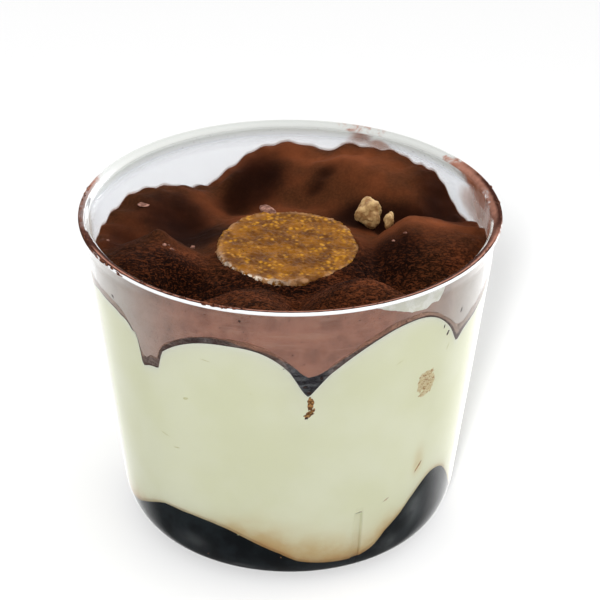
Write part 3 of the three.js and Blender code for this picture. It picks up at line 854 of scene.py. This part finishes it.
def cocoa_material():
    n = Nodes("cocoa_powder")
    patches = n.scale(n.noise(12, 3), 0.36, 0.64)
    colour = n.mix(patches, COCOA_DULL, COCOA_WARM)
    grain = n.scale(n.noise(0.55, 2, rough=0.6), 0.35, 0.7)
    colour = n.mix(n.times(grain, 0.2), colour, rgb(112, 64, 36))
    wrinkles = n.noise(0.62, 5, rough=0.62, distort=0.6, stretch=(0.40, 1.1, 1.1))
    line = n.math("ABSOLUTE", n.math("SUBTRACT", wrinkles, 0.5))
    crease = n.scale(line, 0.0, 0.05, 1.0, 0.0)
    # Darker towards the front: painted shade on the front slopes.
    colour = n.mix(n.times("creased", 0.25), colour, rgb(40, 18, 10))
    # Painted light on the lit crests and slopes.
    dry = n.times("lit", n.scale(n.noise(2.5, 4), 0.3, 0.65, 0.45, 0.8))
    colour = n.mix(dry, colour, rgb(124, 66, 37))
    # Darker places: partly moist powder, partly painted shade in hollows and on flanks turned from the
    # light.
    damp = n.scale(n.plus("moist", n.times(n.noise(5, 3), 0.4)), 0.2, 1.25)
    colour = n.mix(n.times(damp, 0.94), colour, rgb(22, 6, 3))
    # Painted light on the wrinkles' ridges, then painted shade in their creases.
    ridge = n.times(n.scale(line, 0.05, 0.13), n.times("creased", 0.36))
    colour = n.mix(ridge, colour, rgb(110, 58, 31))
    colour = n.mix(n.times(crease, n.times("creased", 0.9)), colour, rgb(16, 6, 4))
    # Painted reflection and painted shade: the wall's grey sheen over the powder's shaded side just above
    # the cream.
    streaky = n.scale(n.noise(1.6, 4, stretch=(0.4, 0.4, 1.6)), 0.35, 0.65)
    slate = n.mix(streaky, rgb(62, 60, 66), rgb(112, 114, 118))
    dull = n.mix(streaky, rgb(104, 84, 78), rgb(140, 122, 116))
    valley = n.mix(n.scale("band_tone", 0.3, 1.0), dull, slate)
    side = n.mix("band", n.mix(0.4, film_colour(n), rgb(206, 164, 144)), valley)
    side = n.mix(n.times("seam", 0.65), side, rgb(66, 50, 48))
    colour = n.mix("side", colour, side)
    relief = n.bump(n.times(crease, "creased"), 0.9, -0.3)
    relief = n.bump(n.noise(0.32, 3), 0.35, 0.12, Normal=relief)
    return n.finish(colour, 0.95, 0.05, Normal=relief)


# ---- toppings
def biscuit_edge(a):
    """Radius of the biscuit's outline, with a in radians round it."""
    waves = np.sin(2 * a + 0.6) + 0.8 * np.sin(5 * a + 2) + 0.6 * np.sin(9 * a)
    return BISCUIT_RADIUS * (1 + BISCUIT_UNEVEN * waves / 2)


def make_biscuit():
    a = np.arange(BISCUIT_SEGMENTS) * 2 * math.pi / BISCUIT_SEGMENTS
    edge = biscuit_edge(a)
    slope = math.tan(math.radians(BISCUIT_TILT))
    profile = [(i / BISCUIT_STEPS, 0.0) for i in range(1, BISCUIT_STEPS - 3)]
    profile += [(0.965, 0.03), (0.98, 0.12), (0.992, 0.32), (1.0, 0.7), (0.998, 1.2), (0.985, 1.7)]
    profile += [(0.93, BISCUIT_THICKNESS), (0.5, BISCUIT_THICKNESS)]
    rings = []
    for share, drop in profile:
        x, y = share * edge * np.sin(a), -share * edge * np.cos(a)
        rings.append(np.column_stack([x + BISCUIT_X, y + BISCUIT_Y, BISCUIT_TOP + y * slope - drop]))
    points = np.concatenate(rings)
    x, y, z = points.T
    points[:, 2] += 0.22 * fbm(x, y, z, 3.2, 4, 11.0) + 0.17 * fbm(x, y, z, 0.8, 3, 5.0)
    rough = 0.55 * fbm(x, y, z, 1.2, 3, 21.0)
    from_middle = points[:, :2] - (BISCUIT_X, BISCUIT_Y)
    out = np.hypot(*from_middle.T) + 1e-6
    push = rough * smoothstep(out, BISCUIT_RADIUS * 0.85, BISCUIT_RADIUS) / out
    points[:, :2] += push[:, None] * from_middle
    rings = list(points.reshape(len(profile), BISCUIT_SEGMENTS, 3))
    top, low = ((BISCUIT_X, BISCUIT_Y, BISCUIT_TOP + lift) for lift in (0.05, -BISCUIT_THICKNESS))
    ob = piece("biscuit_disc", *rings_mesh(rings, top, low))
    x, y, *_ = vertices(ob)
    x, y = x - BISCUIT_X, y - BISCUIT_Y
    turn, share = np.degrees(np.arctan2(x, -y)), np.hypot(x, y) / BISCUIT_RADIUS
    lit_side = np.exp(-(((turn + 38) / 26) ** 2))
    attributes(ob, rim=smoothstep(share, 0.86, 1.0), glint=smoothstep(share, 0.93, 0.99) * lit_side)
    finish_piece(ob, "biscuit", biscuit_material())


def biscuit_material():
    n = Nodes("golden_biscuit")
    patches = n.scale(n.noise(4.2, 5), 0.36, 0.64)
    colour = n.mix(patches, rgb(92, 52, 10), rgb(132, 82, 15))
    lumps = n.scale(n.texture("TexVoronoi", 1.1), 0.10, 0.62, 1.0, 0.0)
    grains = n.times(lumps, n.scale(n.noise(3.4, 4), 0.40, 0.64))
    colour = n.mix(n.times(grains, 0.8), colour, rgb(198, 140, 34))
    pits = n.scale(n.noise(1.1, 4, rough=0.7, distort=0.4), 0.32, 0.44, 0.75, 0.0)
    colour = n.mix(pits, colour, rgb(66, 35, 13))
    paler = n.times("rim", n.scale(n.noise(2.2, 3), 0.45, 0.6))
    colour = n.mix(n.times(paler, 0.6), colour, rgb(176, 134, 96))
    glint = n.times("glint", n.scale(n.noise(0.9, 4), 0.44, 0.56))
    colour = n.mix(glint, colour, rgb(250, 240, 222))
    rough = n.scale(n.noise(1.6, 2), 0.35, 0.65, 0.35, 0.65)
    relief = n.bump(n.noise(1.1, 4, rough=0.6), 0.8, 0.5)
    return n.finish(colour, rough, 0.08, Normal=relief)


def make_nut(name, node, x, y, size, turn):
    mesh = bpy.data.meshes.new(name)
    bm = bmesh.new()
    bmesh.ops.create_icosphere(bm, subdivisions=5, radius=1.0)
    az = math.degrees(math.atan2(x, -y))
    rest = float(cocoa_top(math.hypot(x, y), az)) + 0.1
    spin = Matrix.Rotation(math.radians(turn), 3, "Z")
    for v in bm.verts:
        p = v.co.copy()
        lump = 1 + 0.12 * math.sin(4 * p.x + 1) + 0.1 * math.cos(5 * p.y + 3 * p.z)
        lump += 0.10 * noise.fractal(p * 1.8 + Vector((x, y, 0)), 1.0, 2.0, 4)
        lump += 0.05 * abs(noise.noise(p * 6))
        p = Vector((p.x * size[0], p.y * size[1], p.z * size[2])) * lump
        v.co = (spin @ p + Vector((x, y, rest + size[2] * 0.72))) * MM
    bm.to_mesh(mesh)
    bm.free()
    mesh.polygons.foreach_set("use_smooth", [True] * len(mesh.polygons))
    finish_piece(new_object(name, mesh), node, NUT_MATERIAL)


def nut_material():
    n = Nodes("nut_pieces")
    colour = n.mix(n.scale(n.noise(1.6, 4), 0.35, 0.65), rgb(146, 106, 62), rgb(206, 172, 118))
    relief = n.bump(n.noise(0.7, 3), 0.5, 0.3)
    return n.finish(colour, 0.55, 0.4, Normal=relief)


# ---- dust and crumbs
def make_dust():
    """Thin film of cocoa dust on the inside of the wall, above the dessert, with a pale bluish veil over
    the back wall as painted light, greyer under the rim as painted shade.
    """
    azimuths = EVEN_COLUMNS
    edge = edge_height(fine_cocoa_top, azimuths)
    heights = [mix(edge - 0.8, LIP_UNDERSIDE, (i / FILM_ROWS) ** 1.3) for i in range(FILM_ROWS + 1)]
    near, far = ([ring(azimuths, inside_radius(z) - gap, z) for z in heights] for gap in (0.02, 0.06))
    ob = piece("cocoa_dust_on_wall", *rings_mesh([*far, *near[::-1]]))
    _, _, z, az, _ = vertices(ob)
    dust, brown = 1 - smoothstep(np.abs(az), 70, 100), film_brown(az)
    for spot in WALL_DUST:
        amount = spot[4] * wall_oval(az, z, spot)
        brown = np.where(amount > dust, spot[5], brown)
        dust = np.maximum(dust, amount)
    back, above = smoothstep(np.abs(az), 80, 115), z - between_columns(azimuths, edge, az)
    attributes(
        ob,
        dust=np.maximum(dust, 0.5 * back * np.exp(-((above / 0.8) ** 2))),
        brown=np.maximum(brown, back * np.exp(-(above**2))),
        back=back,
        under_rim=back * smoothstep(z, 68.4, 71.0),
    )
    finish_piece(ob, None, dust_material())


def film_brown(azimuth):
    """How brown the film on the wall is: fully at the front, pale grey towards the sides."""
    return 1 - smoothstep(np.abs(azimuth), 22, 64)


def film_colour(n):
    brown = n.mix(n.scale(n.noise(4, 4), 0.35, 0.65), rgb(146, 94, 72), rgb(170, 113, 89))
    streaks = n.scale(n.noise(2.4, 4, stretch=(0.3, 0.3, 2.2)), 0.52, 0.68, 0.0, 0.3)
    brown = n.mix(streaks, brown, rgb(186, 142, 120))
    return n.mix("brown", rgb(190, 180, 169), brown)


def dust_material():
    n = Nodes("cocoa_dust")
    cloud = n.scale(n.noise(5, 5, stretch=(1, 1, 0.6)), 0.28, 0.6, 0.8, 1.0)
    specks = n.scale(n.noise(0.45, 2), 0.66, 0.72)
    dust = n.times(n.times("dust", cloud), 0.88)
    # Painted light and shade on the back wall: a pale bluish veil, greyer under the rim as painted shade.
    haze = n.plus(n.times("back", 0.2), n.times("under_rim", 0.35))
    alpha = n.math("MAXIMUM", dust, haze)
    pale = n.mix("under_rim", rgb(236, 242, 252), rgb(228, 232, 229))
    colour = n.mix(n.scale(n.math("SUBTRACT", dust, haze), -0.05, 0.15), pale, film_colour(n))
    colour = n.mix(n.times(specks, n.times("brown", 0.7)), colour, rgb(60, 44, 42))
    return n.finish(colour, 0.9, 0.1, Alpha=alpha)


def plain_material(name, low, high, grain_mm, depth_mm=0.15, roughness=0.8):
    """Two tones mixed by a fine grain, with relief of the same grain."""
    n = Nodes(name)
    grain = n.noise(grain_mm, 4, rough=0.6)
    colour = n.mix(n.scale(grain, 0.4, 0.6), low, high)
    return n.finish(colour, roughness, 0.2, Normal=n.bump(grain, 0.5, depth_mm))


def make_rim_crumbs():
    """Crumbs of cocoa stuck on the lip, mostly at the front left."""
    rng = np.random.default_rng(4)
    parts = []
    for azimuth, spread, count, low, high, size in LIP_CRUMBS:
        for _ in range(count):
            az = azimuth + rng.normal() * spread
            angle = math.radians(rng.uniform(low, high))
            long, thick = size * rng.uniform(0.18, 0.55), size * rng.uniform(0.07, 0.17)
            place = ring(np.array([az]), *on_bead(angle, 0.02))[0]
            parts.append(pebble(place, (long, thick, thick), az, rng.uniform(0, 90), 7, 10))
    dark = plain_material("cocoa_crumbs", rgb(52, 24, 15), rgb(120, 70, 46), 0.5)
    finish_piece(joined("cocoa_crumbs_on_lip", parts), None, dark)


def make_pale_bits():
    parts = []
    for i, (x, y, size, turn) in enumerate(PALE_BITS):
        az = math.degrees(math.atan2(x, -y))
        z = float(fine_cocoa_top(np.array(math.hypot(x, y)), np.array(az)))
        parts.append(pebble((x, y, z + 0.3 * size[2]), size, turn, 3.0 * i))
    x, y, z, size, turn = WEDGE
    parts.append(pebble((x, y, z), size, turn, 40.0, 14, 20))
    dusty = plain_material("dusty_crumbs", rgb(96, 62, 50), rgb(164, 120, 104), 1.6)
    finish_piece(joined("dusty_crumbs_on_powder", parts), None, dusty)


def make_wall_bits():
    """Soaked bits, streaks, specks and air marks between the cream and the wall."""
    sponge = plain_material("wet_sponge", rgb(96, 56, 26), rgb(190, 140, 84), 0.5)
    specks = plain_material("dark_specks", rgb(30, 16, 14), rgb(66, 44, 42), 0.4)
    marks = plain_material("air_marks", rgb(206, 204, 158), rgb(224, 222, 184), 0.4)
    for name, places, ragged, lift, slot, material in (
        ("soaked_bits", SOAKED_BITS, 0.32, 0.07, "coffee_sponge", porous_material()),
        ("brown_streaks", BROWN_STREAKS, 0.45, 0.09, "coffee_sponge", sponge),
        ("dark_specks", DARK_SPECKS, 0.5, 0.10, "cocoa", specks),
        ("air_marks", AIR_MARKS, 0.3, 0.05, "cream", marks),
    ):
        parts = [wall_lens(*place, 2.7 * i + 1, ragged, lift) for i, place in enumerate(places)]
        finish_piece(joined(name, parts), None, material)


def porous_material():
    n = Nodes("porous_sponge")
    strands = n.noise(0.42, 5, rough=0.7, distort=0.8, stretch=(0.55, 0.55, 1.5))
    brown = n.scale(strands, 0.51, 0.60)
    pale = n.mix(n.noise(1.1, 3), rgb(228, 220, 188), rgb(216, 196, 150))
    colour = n.mix(n.times(brown, 0.95), pale, rgb(156, 98, 48))
    relief = n.bump(strands, 0.4, 0.2)
    return n.finish(colour, 0.6, 0.2, Normal=relief)


def make_smear():
    """Cream left under the lip at the front right."""
    azimuths = np.linspace(SMEAR[0][0], SMEAR[-1][0], SMEAR_COLUMNS)
    low = at_azimuth(SMEAR, azimuths) + 0.12 * fbm(azimuths, 0, 0, 1.5, 3, 8.0)
    outer, inner = [], []
    for share in np.linspace(0, 1, SMEAR_ROWS + 1):
        z = mix(low, SMEAR_TOP, share)
        for rows, reach, steep in ((outer, 0.14, 6), (inner, -0.4, 3)):
            rows.append(ring(azimuths, inside_radius(z) + reach * math.sqrt(min(1, share * steep)), z))
    ob = piece("cream_smear_under_lip", *sheet_mesh([*outer, *inner[::-1]]))
    pale = plain_material("smeared_cream", rgb(232, 232, 218), rgb(248, 248, 240), 3.0, 0.1, 0.5)
    finish_piece(ob, None, pale)


# ---- stage
STUDIO_LIGHT = 1.13  # mean brightness all round
STUDIO_LEAN = (0.44, 0.34, -0.10)  # how much brighter it is towards +X, +Y and +Z
STUDIO_UNDERSIDE = 0.10  # share of it below the horizon in front, which only reflections see
FLOOR_COLOUR, FLOOR_GLOW, FLOOR_SIZE = 0.58, 0.15, 2600.0
# name, place, height that it is aimed at, size, energy, whether it shows in reflections
LIGHTS = (
    ("window_behind_right", (330, 430, 300), 60, 220, 0.8, True),
    ("softbox_above_left", (-330, -230, 560), 30, 260, 1.0, False),
    ("softbox_above_right", (300, -200, 560), 30, 260, 0.6, False),
    ("floor_light", (-110, -930, 610), 30, 100, 15.5, False),
)


def make_floor():
    corners = [(x * FLOOR_SIZE, y * FLOOR_SIZE, 0) for x, y in ((-1, -1), (1, -1), (1, 1), (-1, 1))]
    floor = piece("floor", corners, [(0, 1, 2, 3)])
    n = Nodes("pale_floor")
    floor.data.materials.append(n.finish(
        (FLOOR_COLOUR, FLOOR_COLOUR, FLOOR_COLOUR, 1), 0.9, 0.0,
        Emission_Color=(1, 1, 1, 1), Emission_Strength=FLOOR_GLOW,
    ))
    floor.location.z = -0.0002
    floor.visible_glossy = False
    return floor


def make_world():
    """White surroundings, brighter towards one side and dim below the horizon in front."""
    n = Nodes("studio", "World")
    direction = n.add("TexCoord").outputs["Generated"]
    light = n.plus(n.dot(direction, STUDIO_LEAN), STUDIO_LIGHT)
    below = n.scale(n.dot(direction, (0, 1, 1.2)), -0.55, 0.05, STUDIO_UNDERSIDE, 1.0, "LINEAR")
    share = n.scale(n.dot(direction, (0, 0, 1)), -0.15, 0.0, below, 1.0, "LINEAR")
    background = n.feed(n.add("Background"), Color=(1, 1, 1, 1), Strength=n.times(light, share))
    bpy.context.scene.world = n.surface(background)
    bpy.context.scene.view_settings.view_transform = "Standard"


def make_lights(dessert, floor):
    """Area lights: the last falls on the floor alone, the others on the dessert alone."""
    for name, place, height, size, energy, glossy in LIGHTS:
        data = bpy.data.lights.new(name, "AREA")
        data.shape, data.size, data.energy = "DISK", size * MM, energy
        ob = new_object(name, data)
        ob.location = Vector(place) * MM
        ob.rotation_euler = (Vector((0, 0, height)) * MM - ob.location).to_track_quat("-Z", "Y").to_euler()
        ob.visible_glossy = glossy
        lit = bpy.data.collections.new("lit_by_" + name)
        for receiver in [floor] if name == "floor_light" else dessert:
            lit.objects.link(receiver)
        ob.light_linking.receiver_collection = lit


def make_camera():
    cos, sin = math.cos(CAMERA_ELEVATION), math.sin(CAMERA_ELEVATION)
    forward, right, up = Vector((0, cos, -sin)), Vector((1, 0, 0)), Vector((0, sin, cos))
    place = Vector((0, 0, CUP_HEIGHT / 2)) - forward * CAMERA_DISTANCE
    for angle, axis in ((CAMERA_YAW, "up"), (CAMERA_PITCH, "right"), (CAMERA_ROLL, "forward")):
        turn = Matrix.Rotation(angle, 3, {"up": up, "right": right, "forward": forward}[axis])
        forward, right, up = turn @ forward, turn @ right, turn @ up
    data = bpy.data.cameras.new("camera")
    data.lens = CAMERA_LENS
    data.sensor_width = SENSOR
    data.clip_start, data.clip_end = 0.01, 20
    ob = new_object("camera", data)
    ob.matrix_world = Matrix.Translation(place * MM) @ Matrix((right, up, -forward)).transposed().to_4x4()
    bpy.context.scene.camera = ob


# ---- scene
make_camera()
make_world()
FLOOR_PLANE = make_floor()
make_cup()
make_coffee()
make_cream()
make_cocoa()
make_biscuit()
NUT_MATERIAL = nut_material()
for nut in NUTS:
    make_nut(*nut)
make_dust()
make_rim_crumbs()
make_pale_bits()
make_wall_bits()
make_smear()
DESSERT = [ob for ob in bpy.context.scene.objects if ob.type == "MESH" and ob != FLOOR_PLANE]
make_lights(DESSERT, FLOOR_PLANE)
